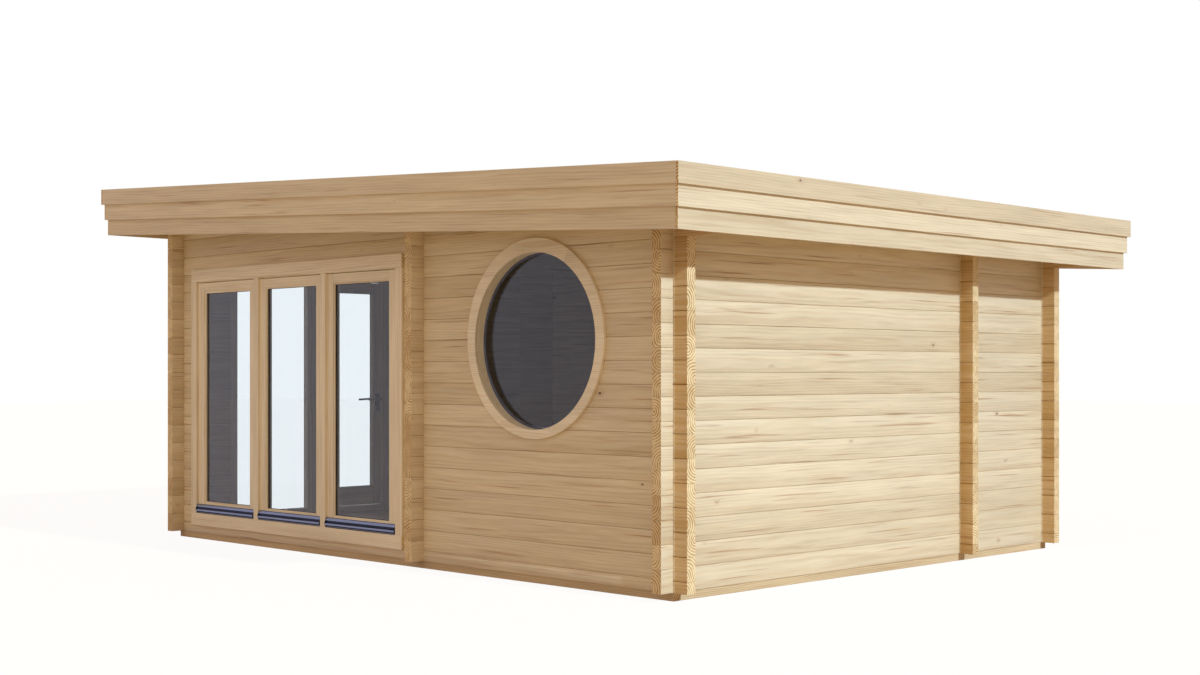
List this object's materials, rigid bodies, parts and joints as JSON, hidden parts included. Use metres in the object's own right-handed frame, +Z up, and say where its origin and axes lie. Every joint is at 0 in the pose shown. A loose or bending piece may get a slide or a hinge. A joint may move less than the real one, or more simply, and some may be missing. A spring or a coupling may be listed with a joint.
{
  "type": "log sauna cabin",
  "caption": "Log sauna cabin with a low mono-pitch roof, three tall glazed sashes in front, a round window and a hinged side door.",
  "frame": {"origin": "on the ground, at the middle of the plan under the roof", "axes": "+Z up; the tall front glazing faces -Y; the roof falls towards +X"},
  "size_m": [6.21, 4.95, 2.751],
  "materials": {
    "spruce_logs": "planed, untreated",
    "framing_timber": "sawn",
    "planed_boards": "planed, untreated",
    "pine_joinery": "planed and sanded",
    "floor_boards": "planed",
    "roofing_rubber": "matt",
    "mill_aluminium": "mill",
    "glass": "clear",
    "zinc_plated_steel": "zinc plated",
    "dark_metal": "satin"
  },
  "bodies": {
    "cabin": {"foundation_beams_across": "framing_timber", "foundation_beams_along": "framing_timber", "floor_joists": "framing_timber", "floor_boards": "floor_boards", "front_wall_left": "spruce_logs", "front_wall_at_glazing": "spruce_logs", "front_wall_right": "spruce_logs", "back_wall": "spruce_logs", "left_wall": "spruce_logs", "left_wall_at_door": "spruce_logs", "right_wall": "spruce_logs", "long_partition": "spruce_logs", "long_partition_headers": "spruce_logs", "short_partition": "spruce_logs", "ceiling_boards": "planed_boards", "rafters": "framing_timber", "roof_deck": "framing_timber", "roof_membrane": "roofing_rubber", "top_fascia_ends": "planed_boards", "top_fascia_sides": "planed_boards", "middle_fascia_ends": "planed_boards", "middle_fascia_sides": "planed_boards", "bottom_fascia_ends": "planed_boards", "bottom_fascia_sides": "planed_boards", "glazing_posts": "pine_joinery", "glazing_head_and_sill": "pine_joinery", "sash_stiles": "pine_joinery", "sash_rails": "pine_joinery", "sash_weather_bars": "mill_aluminium", "round_window_trim": "pine_joinery", "round_window_frame": "pine_joinery", "fixed_glass": "glass", "trim_boards_upright": "pine_joinery", "trim_boards_level": "pine_joinery", "side_door_posts": "pine_joinery", "side_door_head_and_sill": "pine_joinery", "side_door_hinge_pins": "zinc_plated_steel"},
    "side_door": {"side_door_stiles": "pine_joinery", "side_door_rails": "pine_joinery", "side_door_glass": "glass", "side_door_weather_bar": "mill_aluminium", "side_door_hinge_knuckles": "zinc_plated_steel", "side_door_handle_plates": "dark_metal"},
    "door_handles": {"side_door_handles": "dark_metal"}
  },
  "joints": [
    {"name": "side_door_hinge", "type": "hinge", "parent": "cabin", "child": "side_door", "pos_m": [-2.673, -0.795, 1.048], "axis": [0, 0, 1], "range_deg": [0, 100]},
    {"name": "handle_turn", "type": "hinge", "parent": "side_door", "child": "door_handles", "pos_m": [-2.641, -0.113, 1.068], "axis": [1, 0, 0], "range_deg": [0, 40], "stiffness_Nm_per_rad": 2.5, "springref_deg": -22.92}
  ]
}
